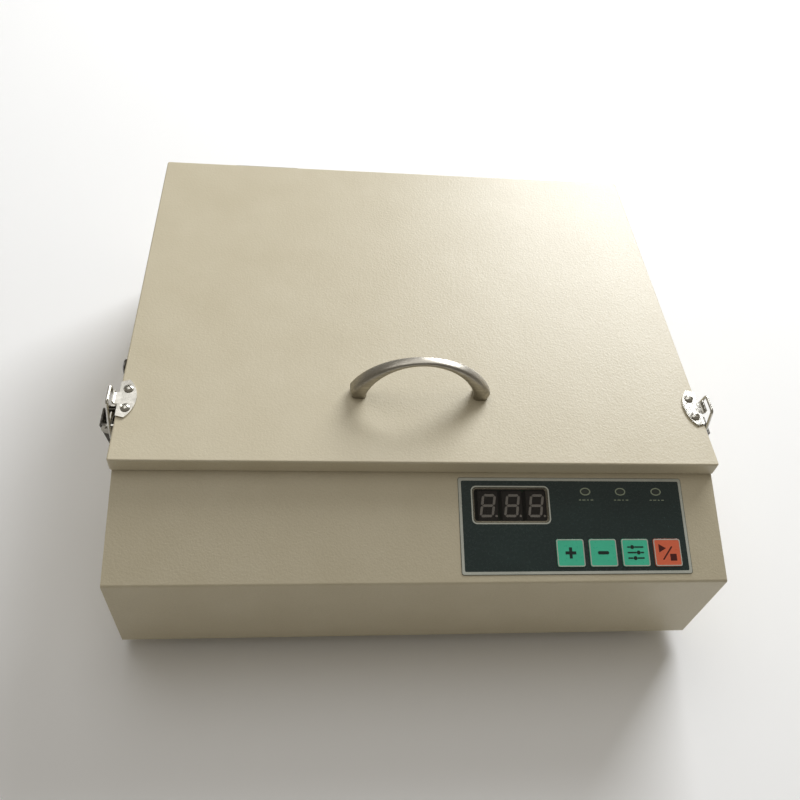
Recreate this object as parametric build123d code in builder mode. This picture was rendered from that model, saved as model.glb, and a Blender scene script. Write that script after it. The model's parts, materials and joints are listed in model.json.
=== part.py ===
"""Benchtop UV exposure unit: a shallow folded-sheet case with a sloped console at
its front right, a hinged pressure lid with a bow handle, and a draw latch on each
side. Millimetres, +Z up, the front faces -Y, the origin is the middle of the
footprint, level with the soles of the feet."""

import os
from math import asin, atan2, cos, radians, sin

from build123d import *

os.makedirs("parts", exist_ok=True)

# Driving dimensions
LID_W = 380.0
LID_D = 296.0
LID_LIP = 10.0
LID_TOP = 118.5
SHEET = 1.2
LID_GAP = 0.4
FOOT_H = 10.0
FRONT_H = 75.0
CONSOLE_RUN = 64.5
RIM_TOP = 115.0
HINGE_R = 3.0
FLANGE = 12.0

# Places that follow from them
OVERHANG = SHEET + LID_GAP
WALL_X = LID_W / 2 - OVERHANG
INNER_X = WALL_X - SHEET
FRONT_Y = -(CONSOLE_RUN + LID_D + 2 * HINGE_R) / 2
LID_FRONT = FRONT_Y + CONSOLE_RUN
LID_REAR = LID_FRONT + LID_D
LID_MID = (LID_FRONT + LID_REAR) / 2
RIM_FRONT = LID_FRONT + OVERHANG
CASE_REAR = LID_REAR - OVERHANG
INNER_REAR = CASE_REAR - SHEET
LIP_Z = LID_TOP - LID_LIP
LID_UNDER = LID_TOP - SHEET
FOLD_Z = FOOT_H + FRONT_H
FLOOR_Z = FOOT_H + 2 * SHEET
HINGE_Y = LID_REAR + HINGE_R
HINGE_Z = LIP_Z - 1.0
SLOPE = atan2(LIP_Z - FOLD_Z, RIM_FRONT - FRONT_Y)
CONSOLE_UP = Vector(0, -sin(SLOPE), cos(SLOPE))

# Exposure bed
WELL_FRONT = RIM_FRONT + SHEET
BED_Y = (WELL_FRONT + INNER_REAR) / 2
DECK_Z = 90.8
DECK_TOP = DECK_Z + SHEET
TRAY_WALL = 1.0
TRAY_TOP = 113.0
GLASS = (330.0, 250.0, 5.0)
BED_OPENING = (310.0, 230.0)
PAD = (310.0, 230.0)
PAD_GAP = 0.3
TUBE_Z = 65.0
TUBE_R = 8.0
TUBE_LEN = 288.0
TUBE_PITCH = 38.0
TUBES = 6
REFLECTOR_Z = 50.0
REFLECTOR_X = 160.0
REFLECTOR_Y = 120.0

# Fittings
HANDLE_Y = LID_FRONT + 55.0
HANDLE_X = 40.5
LATCH_Y = LID_FRONT + 46.0
SIDE_SCREW_Y = LID_FRONT + 76.0
NOTCH_W = 22.0
NOTCH_DEPTH = 6.1
HINGE_X = 110.0
LATCH_B = (10.0, 98.0)  # lever pivot: out from the side wall, up from the soles
LATCH_L = (-0.5, -8.0)  # loop pivot, from the lever pivot with the lever upright
LEVER_LEAN = radians(-8.0)
LOOP_LEAN = radians(3.0)
LOOP_H = 34.0
LOOP_KNEE = 14.0
LOOP_HALF = 11.3
LOOP_BAR = 6.6
LOOP_TAIL = 5.4
STAY_R = 46.0
STAY_X = -183.65

# Console layout: x across, s down the slope from the lid
LABEL = (20.8, 166.5, 4.9, 65.1)
WINDOW = (29.7, 77.8, 11.1, 33.3)
KEY_SIZE = (17.6, 17.0)
KEY_X = (89.3, 110.1, 130.9, 151.7)
KEY_S = 52.1
LED_X = (102.4, 125.4, 149.0)
LED_S = 13.6
DIGIT_X = (39.6, 55.0, 70.4)
DIGIT_S = 22.3
LABEL_T = 0.3
BOARD_DEPTH = 11.0

# Rear panel layout
FAN_AT = (-90.0, 46.0)
INLET_AT = (128.0, 44.0)
ROCKER_AT = (84.0, 44.0)


def console_plane(height=0.0):
    """Sketch plane over the console: x across the case, y up the slope."""
    top = Vector(0, RIM_FRONT, LIP_Z) + CONSOLE_UP * height
    return Plane(origin=top, x_dir=(1, 0, 0), z_dir=CONSOLE_UP)


def rear_plane(y):
    """Sketch plane in (X, Z) at depth y, extruding towards the front."""
    return Plane.XZ.offset(-y)


def middle(low, high):
    return (low + high) / 2


def latch_plane(side, rotation=0.0, at=(0.0, 0.0)):
    """Sketch plane across one latch: x outward from the wall, y up, turned in place."""
    return Plane(
        origin=(side * (WALL_X + at[0]), LATCH_Y, at[1]),
        x_dir=(side * cos(rotation), 0, sin(rotation)),
        z_dir=(0, -side, 0),
    )


def turned(point, angle):
    """A point turned counter-clockwise about the origin."""
    x, y = point
    return (x * cos(angle) - y * sin(angle), x * sin(angle) + y * cos(angle))


def facing(x, y, z, normal):
    """Seat of a screw whose head faces along normal."""
    return Plane(origin=(x, y, z), z_dir=normal)


def add_screws(seats, head_r, head_h, shank_r, shank_l, cross=True):
    """Domed screws in the active part, the heads standing on their seats."""
    cap = 0.65 * head_h
    dome_r = (head_r**2 + cap**2) / (2 * cap)
    half = asin(head_r / dome_r) / 2
    crown = (dome_r * sin(half), head_h - dome_r + dome_r * cos(half))
    for seat in seats:
        section = Plane(origin=seat.origin, x_dir=seat.x_dir, z_dir=-seat.y_dir)
        with BuildSketch(section) as outline:
            with BuildLine():
                Polyline(
                    (0, head_h), (0, -shank_l), (shank_r, -shank_l),
                    (shank_r, 0), (head_r, 0), (head_r, head_h - cap),
                )
                ThreePointArc((head_r, head_h - cap), crown, (0, head_h))
            make_face()
        revolve(outline.sketch, axis=Axis(seat.origin, seat.z_dir))
    if cross:
        with BuildSketch(*[seat.offset(head_h) for seat in seats]) as recess:
            Rectangle(1.1 * head_r, 0.28 * head_r)
            Rectangle(0.28 * head_r, 1.1 * head_r)
        extrude(recess.sketch, amount=-0.5 * head_h, mode=Mode.SUBTRACT)


def drill(seats, radius, depth):
    """Round holes through the active part under the given seats."""
    with BuildSketch(*[seat.offset(0.5) for seat in seats]) as mouths:
        Circle(radius)
    extrude(mouths.sketch, amount=-(depth + 0.5), mode=Mode.SUBTRACT)


def save(builder, name):
    builder.part.label = name
    export_step(builder.part, f"parts/{name}.step")


# Screw seats, shared by the screws and by the holes they go through
FLANGE_Y = (FRONT_Y + SHEET + 6.0, INNER_REAR - 6.0)
bottom_seats = [
    facing(x, y, FOOT_H, (0, 0, -1))
    for x in (-150.0, 0.0, 150.0)
    for y in FLANGE_Y
]
FOOT_AT = [(x, y) for x in (-160.0, 160.0) for y in (FRONT_Y + 26.0, CASE_REAR - 26.0)]
foot_seats = [facing(x, y, 6.0, (0, 0, -1)) for x, y in FOOT_AT]
latch_seats = [
    facing(side * (WALL_X + SHEET), LATCH_Y + dy, z, (side, 0, 0))
    for side in (-1, 1)
    for dy in (-10.6, 10.6)
    for z in (84.0, 99.0)
]
HINGE_LEAF = 50.0
LEAF_T = 1.2
PACKER_T = LID_REAR - CASE_REAR
hinge_base_seats = [
    facing(side * HINGE_X + dx, CASE_REAR + PACKER_T + LEAF_T, HINGE_Z - 12.0, (0, 1, 0))
    for side in (-1, 1)
    for dx in (-16.0, 0.0, 16.0)
]
hinge_lid_seats = [
    facing(side * HINGE_X + dx, LID_REAR + LEAF_T, HINGE_Z + 6.6, (0, 1, 0))
    for side in (-1, 1)
    for dx in (-16.0, 0.0, 16.0)
]
STRIKE_T = 1.2
STRIKE_X = 184.5
strike_seats = [
    facing(side * (STRIKE_X + 0.1), LATCH_Y + dy, LID_TOP + STRIKE_T, (0, 0, 1))
    for side in (-1, 1)
    for dy in (-7.6, 7.6)
]
handle_seats = [facing(x, HANDLE_Y, LID_UNDER, (0, 0, -1)) for x in (-HANDLE_X, HANDLE_X)]
FRAME_OUT = (352.0, 268.0)
FRAME_IN = (316.0, 236.0)
frame_seats = [
    facing(x, BED_Y + y, DECK_TOP + GLASS[2] + 1.0, (0, 0, 1))
    for x in (-170.5, 170.5)
    for y in (-100.0, 0.0, 100.0)
]
side_screw_seat = facing(-LID_W / 2, SIDE_SCREW_Y, LID_TOP - 5.0, (-1, 0, 0))
STAY_P = (HINGE_Y - STAY_R * cos(radians(44.0)), HINGE_Z - STAY_R * sin(radians(44.0)))
STAY_Q = (HINGE_Y - STAY_R * cos(radians(6.0)), HINGE_Z + STAY_R * sin(radians(6.0)))
stay_seat = facing(-WALL_X, STAY_P[0], STAY_P[1], (-1, 0, 0))


# Case: front, sloped console, sides and rear folded from one gauge of sheet
def case_profile(inset, low, high):
    """Side view of the case, or of its hollow when inset by the sheet."""
    rise = inset * (sin(SLOPE) - 1.0) / cos(SLOPE)
    Polyline(
        (FRONT_Y + inset, low),
        (FRONT_Y + inset, FOLD_Z + rise),
        (RIM_FRONT + inset, LIP_Z + rise),
        (RIM_FRONT + inset, high),
        (CASE_REAR - inset, high),
        (CASE_REAR - inset, low),
        close=True,
    )


with BuildPart() as base_casing:
    with BuildSketch(Plane.YZ):
        with BuildLine():
            case_profile(0.0, FOOT_H, RIM_TOP)
        make_face()
    extrude(amount=WALL_X, both=True)
    front_edges = base_casing.edges().filter_by(Axis.X).group_by(Axis.Y)[0]
    fillet(front_edges.sort_by(Axis.Z)[-1], radius=2.0)
    with BuildSketch(Plane.YZ):
        with BuildLine():
            case_profile(SHEET, FOOT_H - 5.0, RIM_TOP + 5.0)
        make_face()
    extrude(amount=INNER_X, both=True, mode=Mode.SUBTRACT)
    # bottom flanges that the bottom plate is screwed up against
    with BuildSketch(Plane.XY.offset(FOOT_H + SHEET)):
        with Locations((0, middle(FRONT_Y, CASE_REAR))):
            Rectangle(2 * INNER_X, CASE_REAR - FRONT_Y - 2 * SHEET)
            Rectangle(
                2 * (INNER_X - FLANGE),
                CASE_REAR - FRONT_Y - 2 * (SHEET + FLANGE),
                mode=Mode.SUBTRACT,
            )
    extrude(amount=SHEET)
    # console cut-outs for the display, the lamps and the keys
    with BuildSketch(console_plane(1.0)):
        with Locations((middle(*WINDOW[:2]), -middle(*WINDOW[2:]))):
            RectangleRounded(WINDOW[1] - WINDOW[0] - 2.0, WINDOW[3] - WINDOW[2] - 2.0, 2.0)
        with Locations(*[(x, -LED_S) for x in LED_X]):
            Circle(1.8)
        with Locations(*[(x, -KEY_S) for x in KEY_X]):
            RectangleRounded(KEY_SIZE[0] + 0.6, KEY_SIZE[1] + 0.6, 1.6)
    extrude(amount=-(SHEET + 1.5), mode=Mode.SUBTRACT)
    # air slots through both sides, near the rear
    with BuildSketch(Plane.YZ):
        with Locations(*[(80.0 + 7.5 * i, 42.0) for i in range(8)]):
            SlotOverall(26.0, 3.0, rotation=90)
    extrude(amount=LID_W, both=True, mode=Mode.SUBTRACT)
    # rear cut-outs
    with BuildSketch(rear_plane(CASE_REAR + 1.0)):
        with Locations(FAN_AT):
            Circle(28.5)
        with Locations(INLET_AT):
            Rectangle(28.4, 31.4)
        with Locations(ROCKER_AT):
            Rectangle(13.4, 19.4)
    extrude(amount=SHEET + 2.0, mode=Mode.SUBTRACT)
    # room in the rim for the lid magnet
    with BuildSketch(Plane.YZ.offset(-WALL_X - 1.0)):
        with Locations((SIDE_SCREW_Y, RIM_TOP)):
            Rectangle(NOTCH_W, 2 * NOTCH_DEPTH)
    extrude(amount=SHEET + 1.5, mode=Mode.SUBTRACT)
    drill([seat.offset(-SHEET) for seat in bottom_seats], 1.6, SHEET)
    drill([seat.offset(-SHEET) for seat in latch_seats], 1.4, SHEET)
    drill([seat.offset(-PACKER_T - LEAF_T) for seat in hinge_base_seats], 1.4, SHEET)
    drill([stay_seat], 2.05, SHEET)
save(base_casing, "base_casing")

# Bottom plate, feet
BOTTOM_W = 2 * INNER_X - 0.4
BOTTOM_D = CASE_REAR - FRONT_Y - 2 * SHEET - 0.4
with BuildPart() as bottom_plate:
    with BuildSketch(Plane.XY.offset(FOOT_H)):
        with Locations((0, middle(FRONT_Y, CASE_REAR))):
            Rectangle(BOTTOM_W, BOTTOM_D)
        with Locations(*[(-40.0 + 16.0 * i, 128.0) for i in range(9)]):
            SlotOverall(44.0, 4.0, rotation=90, mode=Mode.SUBTRACT)
    extrude(amount=SHEET)
    drill(bottom_seats, 1.6, SHEET)
    drill([seat.offset(-4.0) for seat in foot_seats], 1.6, SHEET)
save(bottom_plate, "bottom_plate")

with BuildPart() as rubber_feet:
    for x, y in FOOT_AT:
        with BuildSketch(Plane.XY):
            with Locations((x, y)):
                Circle(8.5)
        with BuildSketch(Plane.XY.offset(FOOT_H)):
            with Locations((x, y)):
                Circle(10.0)
        loft()
    with BuildSketch(Plane.XY):
        with Locations(*FOOT_AT):
            Circle(4.6)
    extrude(amount=6.0, mode=Mode.SUBTRACT)
    with BuildSketch(Plane.XY):
        with Locations(*FOOT_AT):
            Circle(1.7)
    extrude(amount=FOOT_H, mode=Mode.SUBTRACT)
save(rubber_feet, "rubber_feet")

with BuildPart() as case_screws:
    add_screws(bottom_seats, 3.0, 1.9, 1.5, 3 * SHEET + 4.0)
    add_screws(foot_seats, 3.2, 2.2, 1.5, 9.0)
    add_screws(latch_seats, 1.9, 1.3, 1.3, 2 * SHEET)
    add_screws(hinge_base_seats, 2.2, 1.2, 1.3, PACKER_T + LEAF_T + SHEET)
save(case_screws, "case_screws")

# Exposure bed: a folded tray in the rim, the glass and its retaining frame
STAY_NOTCH = (9.4, 64.0)
with BuildPart() as deck_tray:
    with BuildSketch(Plane.XY.offset(DECK_Z)):
        with Locations((0, BED_Y)):
            Rectangle(2 * INNER_X, INNER_REAR - WELL_FRONT)
    extrude(amount=TRAY_TOP - DECK_Z)
    with BuildSketch(Plane.XY.offset(DECK_TOP)):
        with Locations((0, BED_Y)):
            Rectangle(2 * (INNER_X - TRAY_WALL), INNER_REAR - WELL_FRONT - 2 * TRAY_WALL)
    extrude(amount=TRAY_TOP, mode=Mode.SUBTRACT)
    with BuildSketch(Plane.XY.offset(DECK_Z - 1.0)):
        with Locations((0, BED_Y)):
            Rectangle(*BED_OPENING)
        with Locations((-INNER_X + STAY_NOTCH[0] / 2, INNER_REAR - STAY_NOTCH[1] / 2)):
            Rectangle(*STAY_NOTCH)
    extrude(amount=TRAY_TOP, mode=Mode.SUBTRACT)
    with BuildSketch(Plane.YZ.offset(-INNER_X - 1.0)):
        with Locations((SIDE_SCREW_Y, RIM_TOP)):
            Rectangle(NOTCH_W, 2 * NOTCH_DEPTH)
    extrude(amount=TRAY_WALL + 1.5, mode=Mode.SUBTRACT)
    drill([seat.offset(-GLASS[2] - 1.0) for seat in frame_seats], 1.4, SHEET)
save(deck_tray, "deck_tray")

with BuildPart() as glass_plate:
    with BuildSketch(Plane.XY.offset(DECK_TOP)):
        with Locations((0, BED_Y)):
            RectangleRounded(GLASS[0], GLASS[1], 3.0)
    extrude(amount=GLASS[2])
    chamfer(glass_plate.faces().sort_by(Axis.Z)[-1].edges(), 0.4)
save(glass_plate, "glass_plate")

with BuildPart() as glass_frame:
    with BuildSketch(Plane.XY.offset(DECK_TOP)):
        with Locations((0, BED_Y)):
            RectangleRounded(*FRAME_OUT, 4.0)
    extrude(amount=GLASS[2] + 1.0)
    with BuildSketch(Plane.XY.offset(DECK_TOP)):
        with Locations((0, BED_Y)):
            Rectangle(*FRAME_IN)
    extrude(amount=GLASS[2] + 1.0, mode=Mode.SUBTRACT)
    with BuildSketch(Plane.XY.offset(DECK_TOP)):
        with Locations((0, BED_Y)):
            Rectangle(GLASS[0] + 0.6, GLASS[1] + 0.6)
    extrude(amount=GLASS[2], mode=Mode.SUBTRACT)
    drill(frame_seats, 1.6, GLASS[2] + 1.0)
save(glass_frame, "glass_frame")

with BuildPart() as bed_screws:
    add_screws(frame_seats, 2.6, 1.4, 1.3, GLASS[2] + 1.0 + SHEET + 3.0)
save(bed_screws, "bed_screws")

# Lamp bay
REFLECTOR_T = 0.8
with BuildPart() as reflector:
    with BuildSketch(Plane.XY.offset(REFLECTOR_Z)):
        with Locations((0, BED_Y)):
            Rectangle(2 * REFLECTOR_X, 2 * REFLECTOR_Y)
    extrude(amount=DECK_Z - REFLECTOR_Z)
    fold_edges = reflector.faces().sort_by(Axis.Z)[0].edges()
    chamfer(fold_edges, 6.0)
    offset(amount=-REFLECTOR_T, openings=reflector.faces().sort_by(Axis.Z)[-1])
save(reflector, "reflector")

TUBE_Y = [BED_Y + TUBE_PITCH * (i - (TUBES - 1) / 2) for i in range(TUBES)]
CAP_L = 8.0
PIN_L = 6.0
GLASS_HALF = TUBE_LEN / 2 - CAP_L
with BuildPart() as uv_tubes:
    with BuildSketch(Plane.YZ):
        with Locations(*[(y, TUBE_Z) for y in TUBE_Y]):
            Circle(TUBE_R)
    extrude(amount=GLASS_HALF, both=True)
save(uv_tubes, "uv_tubes")

with BuildPart() as tube_caps:
    for side in (-1, 1):
        cap_plane = Plane(origin=(side * GLASS_HALF, 0, 0), x_dir=(0, 1, 0), z_dir=(side, 0, 0))
        with BuildSketch(cap_plane):
            with Locations(*[(y, side * TUBE_Z) for y in TUBE_Y]):
                Circle(TUBE_R + 0.3)
        extrude(amount=CAP_L)
        with BuildSketch(cap_plane.offset(CAP_L)):
            with Locations(*[(y + dy, side * TUBE_Z) for y in TUBE_Y for dy in (-2.5, 2.5)]):
                Circle(1.2)
        extrude(amount=PIN_L)
save(tube_caps, "tube_caps")

with BuildPart() as lamp_holders:
    for side in (-1, 1):
        holder_x = side * (TUBE_LEN / 2 + 0.3)
        holder_plane = Plane(origin=(holder_x, 0, 0), x_dir=(0, 1, 0), z_dir=(side, 0, 0))
        with BuildSketch(holder_plane):
            for y in TUBE_Y:
                base_z = REFLECTOR_Z + REFLECTOR_T
                with Locations((y, side * middle(base_z, TUBE_Z))):
                    Rectangle(15.0, TUBE_Z - base_z)
                with Locations((y, side * TUBE_Z)):
                    Circle(7.5)
                with Locations((y, side * TUBE_Z)):
                    Rectangle(8.2, 2.8, mode=Mode.SUBTRACT)
        extrude(amount=8.0)
save(lamp_holders, "lamp_holders")

# Gear on the bottom plate
BALLAST = (150.0, 40.0, 26.0)
BALLAST_AT = [(-75.0, y) for y in (-62.0, 0.0, 62.0)]
with BuildPart() as ballasts:
    with BuildSketch(Plane.XY.offset(FLOOR_Z)):
        with Locations(*BALLAST_AT):
            RectangleRounded(BALLAST[0], BALLAST[1], 2.0)
    extrude(amount=BALLAST[2])
    fillet(ballasts.faces().group_by(Axis.Z)[-1].edges(), 1.5)
    with BuildSketch(Plane.XY.offset(FLOOR_Z)):
        with Locations(*BALLAST_AT):
            SlotOverall(BALLAST[0] + 24.0, 16.0)
        with Locations(*[(x + dx, y) for x, y in BALLAST_AT for dx in (-80.5, 80.5)]):
            Circle(2.1, mode=Mode.SUBTRACT)
    extrude(amount=1.5)
save(ballasts, "ballasts")

BOARD_AT = (92.0, 20.0)
BOARD = (100.0, 80.0, 1.6)
BOARD_POSTS = (92.0, 72.0)
POST_H = 6.0
with BuildPart() as power_board:
    with BuildSketch(Plane.XY.offset(FLOOR_Z + POST_H)):
        with Locations(BOARD_AT):
            Rectangle(BOARD[0], BOARD[1])
            with GridLocations(*BOARD_POSTS, 2, 2):
                Circle(1.6, mode=Mode.SUBTRACT)
    extrude(amount=BOARD[2])
save(power_board, "power_board")

PARTS_Z = FLOOR_Z + POST_H + BOARD[2]
with BuildPart() as power_components:
    with BuildSketch(Plane.XY.offset(PARTS_Z)):
        with Locations((BOARD_AT[0] - 22, BOARD_AT[1] - 12)):
            RectangleRounded(36.0, 30.0, 2.0)
    extrude(amount=22.0)
    with BuildSketch(Plane.XY.offset(PARTS_Z)):
        with Locations(*[(BOARD_AT[0] + x, BOARD_AT[1] + 22) for x in (-30, -14)]):
            Circle(6.3)
    extrude(amount=20.0)
    with BuildSketch(Plane.XY.offset(PARTS_Z)):
        with Locations(*[(BOARD_AT[0] + 12 + 15 * i, BOARD_AT[1] + 20) for i in range(3)]):
            Rectangle(12.0, 16.0)
    extrude(amount=15.0)
    with BuildSketch(Plane.XY.offset(PARTS_Z)):
        with Locations((BOARD_AT[0] + 24, BOARD_AT[1] - 20)):
            Rectangle(28.0, 14.0)
    extrude(amount=10.0)
save(power_components, "power_components")

TERMINAL_AT = (120.0, 108.0)
with BuildPart() as terminal_block:
    with BuildSketch(Plane.XY.offset(FLOOR_Z)):
        with Locations(TERMINAL_AT):
            Rectangle(60.0, 20.0)
    extrude(amount=14.0)
    with BuildSketch(Plane.XY.offset(FLOOR_Z + 14.0)):
        with Locations(TERMINAL_AT):
            with GridLocations(9.6, 10.0, 6, 2):
                Circle(2.6)
    extrude(amount=-3.0, mode=Mode.SUBTRACT)
save(terminal_block, "terminal_block")

# Console electronics
CONTROL = (24.0, 164.0, 8.0, 62.0)
CONTROL_T = 1.6
STANDOFF_AT = [(28.0, -40.0), (72.0, -58.0), (112.0, -32.0), (160.0, -24.0)]
with BuildPart() as control_board:
    with BuildSketch(console_plane(-BOARD_DEPTH)):
        with Locations((middle(*CONTROL[:2]), -middle(*CONTROL[2:]))):
            Rectangle(CONTROL[1] - CONTROL[0], CONTROL[3] - CONTROL[2])
        with Locations(*STANDOFF_AT):
            Circle(1.6, mode=Mode.SUBTRACT)
    extrude(amount=-CONTROL_T)
save(control_board, "control_board")

with BuildPart() as board_standoffs:
    with BuildSketch(console_plane(-SHEET)):
        with Locations(*STANDOFF_AT):
            RegularPolygon(3.0, 6)
    extrude(amount=-(BOARD_DEPTH - SHEET))
    with BuildSketch(console_plane(-BOARD_DEPTH - CONTROL_T)):
        with Locations(*STANDOFF_AT):
            Circle(2.8)
    extrude(amount=-1.8)
    with BuildSketch(console_plane(-BOARD_DEPTH)):
        with Locations(*STANDOFF_AT):
            Circle(1.5)
    extrude(amount=-CONTROL_T)
    with BuildSketch(Plane.XY.offset(FLOOR_Z)):
        with Locations(BOARD_AT):
            with GridLocations(*BOARD_POSTS, 2, 2):
                RegularPolygon(3.0, 6)
    extrude(amount=POST_H)
save(board_standoffs, "board_standoffs")

DIGIT_TOP = -1.6
with BuildPart() as digit_modules:
    with BuildSketch(console_plane(-BOARD_DEPTH)):
        with Locations(*[(x, -DIGIT_S) for x in DIGIT_X]):
            Rectangle(12.6, 19.0)
    extrude(amount=BOARD_DEPTH + DIGIT_TOP)
save(digit_modules, "digit_modules")

KEY_UNDER = -1.9
STEM_GAP = 0.6
with BuildPart() as key_switches:
    with BuildSketch(console_plane(-BOARD_DEPTH)):
        with Locations(*[(x, -KEY_S) for x in KEY_X]):
            Rectangle(6.2, 6.2)
    extrude(amount=3.5)
    with BuildSketch(console_plane(-BOARD_DEPTH + 3.5)):
        with Locations(*[(x, -KEY_S) for x in KEY_X]):
            Circle(1.75)
    extrude(amount=BOARD_DEPTH - 3.5 + KEY_UNDER - STEM_GAP)
save(key_switches, "key_switches")

with BuildPart() as led_lamps:
    with BuildSketch(console_plane(-BOARD_DEPTH)):
        with Locations(*[(x, -LED_S) for x in LED_X]):
            Circle(1.5)
    extrude(amount=BOARD_DEPTH - 1.0)
    with BuildSketch(console_plane(-BOARD_DEPTH)):
        with Locations(*[(x, -LED_S) for x in LED_X]):
            Circle(2.4)
    extrude(amount=7.5)
    fillet(led_lamps.edges().filter_by(GeomType.CIRCLE).group_by(SortBy.RADIUS)[0], 0.5)
save(led_lamps, "led_lamps")

with BuildPart() as buzzer:
    with BuildSketch(console_plane(-BOARD_DEPTH)):
        with Locations((50.0, -50.0)):
            Circle(6.0)
            Circle(1.0, mode=Mode.SUBTRACT)
    extrude(amount=7.0)
save(buzzer, "buzzer")

# Printed overlay, with its clear window and the four keys
with BuildPart() as overlay:
    with BuildSketch(console_plane()):
        with Locations((middle(*LABEL[:2]), -middle(*LABEL[2:]))):
            RectangleRounded(LABEL[1] - LABEL[0], LABEL[3] - LABEL[2], 1.5)
        with Locations((middle(*WINDOW[:2]), -middle(*WINDOW[2:]))):
            RectangleRounded(
                WINDOW[1] - WINDOW[0], WINDOW[3] - WINDOW[2], 2.5, mode=Mode.SUBTRACT
            )
        with Locations(*[(x, -LED_S) for x in LED_X]):
            Ellipse(2.5, 1.7, mode=Mode.SUBTRACT)
        with Locations(*[(x, -KEY_S) for x in KEY_X]):
            RectangleRounded(KEY_SIZE[0] + 0.4, KEY_SIZE[1] + 0.4, 1.6, mode=Mode.SUBTRACT)
    extrude(amount=LABEL_T)
save(overlay, "overlay")

with BuildPart() as display_window:
    with BuildSketch(console_plane()):
        with Locations((middle(*WINDOW[:2]), -middle(*WINDOW[2:]))):
            RectangleRounded(WINDOW[1] - WINDOW[0] - 0.1, WINDOW[3] - WINDOW[2] - 0.1, 2.4)
    extrude(amount=LABEL_T)
save(display_window, "display_window")

KEY_PROUD = 0.8
KEY_RIM = 0.6
for key_name, key_x in zip(("key_plus", "key_minus", "key_set", "key_start"), KEY_X):
    with BuildPart() as key:
        with BuildSketch(console_plane(KEY_UNDER)):
            with Locations((key_x, -KEY_S)):
                RectangleRounded(KEY_SIZE[0], KEY_SIZE[1], 1.4)
        extrude(amount=KEY_PROUD - KEY_UNDER)
        top_face = key.faces().sort_by(Axis((0, 0, 0), tuple(CONSOLE_UP)))[-1]
        fillet(top_face.edges(), 0.4)
        with BuildSketch(console_plane(KEY_UNDER)):
            with Locations((key_x, -KEY_S)):
                RectangleRounded(KEY_SIZE[0] + 2.4, KEY_SIZE[1] + 2.4, 2.0)
        extrude(amount=KEY_RIM)
    save(key, key_name)

# Rear panel: mains inlet with its fuse drawer, rocker switch and fan
INLET_BODY = (28.0, 31.0, 22.0)
INLET_FLANGE_T = 2.5
RECESS = (24.6, 16.6, 16.0)
DRAWER = (24.0, 8.0, 15.0)
inlet_front = CASE_REAR + INLET_FLANGE_T
recess_z = INLET_AT[1] + 5.6
drawer_z = INLET_AT[1] - 9.6
with BuildPart() as inlet_socket:
    with BuildSketch(rear_plane(inlet_front)):
        with Locations(INLET_AT):
            RectangleRounded(50.0, 36.0, 4.0)
            with Locations((-20.0, 0.0), (20.0, 0.0)):
                Circle(1.7, mode=Mode.SUBTRACT)
    extrude(amount=INLET_FLANGE_T)
    with BuildSketch(rear_plane(inlet_front)):
        with Locations(INLET_AT):
            Rectangle(INLET_BODY[0], INLET_BODY[1])
    extrude(amount=INLET_FLANGE_T + INLET_BODY[2])
    with BuildSketch(rear_plane(inlet_front)):
        with Locations((INLET_AT[0], recess_z)):
            RectangleRounded(RECESS[0], RECESS[1], 2.0)
    extrude(amount=RECESS[2], mode=Mode.SUBTRACT)
    with BuildSketch(rear_plane(inlet_front)):
        with Locations((INLET_AT[0], drawer_z)):
            Rectangle(DRAWER[0] + 0.4, DRAWER[1] + 0.4)
    extrude(amount=DRAWER[2] + 0.6, mode=Mode.SUBTRACT)
    # the three blades stand in the recess
    with BuildSketch(rear_plane(inlet_front - RECESS[2])):
        with Locations(*[(INLET_AT[0] + x, recess_z + z)
                         for x, z in ((-7.0, -1.0), (0.0, 3.0), (7.0, -1.0))]):
            Rectangle(2.0, 4.0)
    extrude(amount=-14.0)
save(inlet_socket, "inlet_socket")

with BuildPart() as fuse_drawer:
    with BuildSketch(rear_plane(inlet_front + 1.2)):
        with Locations((INLET_AT[0], drawer_z)):
            Rectangle(DRAWER[0], DRAWER[1])
    extrude(amount=DRAWER[2] + 1.2)
    with BuildSketch(Plane.XY.offset(drawer_z + DRAWER[1] / 2)):
        with Locations((INLET_AT[0], inlet_front - 7.0)):
            Rectangle(21.0, 6.0)
    extrude(amount=-6.5, mode=Mode.SUBTRACT)
    with BuildSketch(rear_plane(inlet_front + 1.2)):
        with Locations((INLET_AT[0], drawer_z - 2.4)):
            Rectangle(8.0, 1.4)
    extrude(amount=1.0, mode=Mode.SUBTRACT)
save(fuse_drawer, "fuse_drawer")

with BuildPart() as fuse:
    with BuildSketch(Plane.YZ.offset(INLET_AT[0])):
        with Locations((inlet_front - 7.0, drawer_z + 0.5)):
            Circle(2.5)
    extrude(amount=10.0, both=True)
save(fuse, "fuse")

ROCKER_DEPTH = 13.0
ROCKER_Y = CASE_REAR - 2.1
ROCKER_TILT = radians(8.0)
with BuildPart() as rocker_bezel:
    with BuildSketch(rear_plane(CASE_REAR + 1.8)):
        with Locations(ROCKER_AT):
            RectangleRounded(16.0, 22.0, 1.5)
    extrude(amount=1.8)
    with BuildSketch(rear_plane(CASE_REAR)):
        with Locations(ROCKER_AT):
            Rectangle(13.0, 19.0)
    extrude(amount=ROCKER_DEPTH)
    with BuildSketch(rear_plane(CASE_REAR + 1.8)):
        with Locations(ROCKER_AT):
            Rectangle(11.0, 17.6)
    extrude(amount=10.0, mode=Mode.SUBTRACT)
    with BuildSketch(Plane.YZ.offset(ROCKER_AT[0])):
        with Locations((ROCKER_Y, ROCKER_AT[1])):
            Circle(1.3)
    extrude(amount=6.1, both=True, mode=Mode.SUBTRACT)
save(rocker_bezel, "rocker_bezel")

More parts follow.
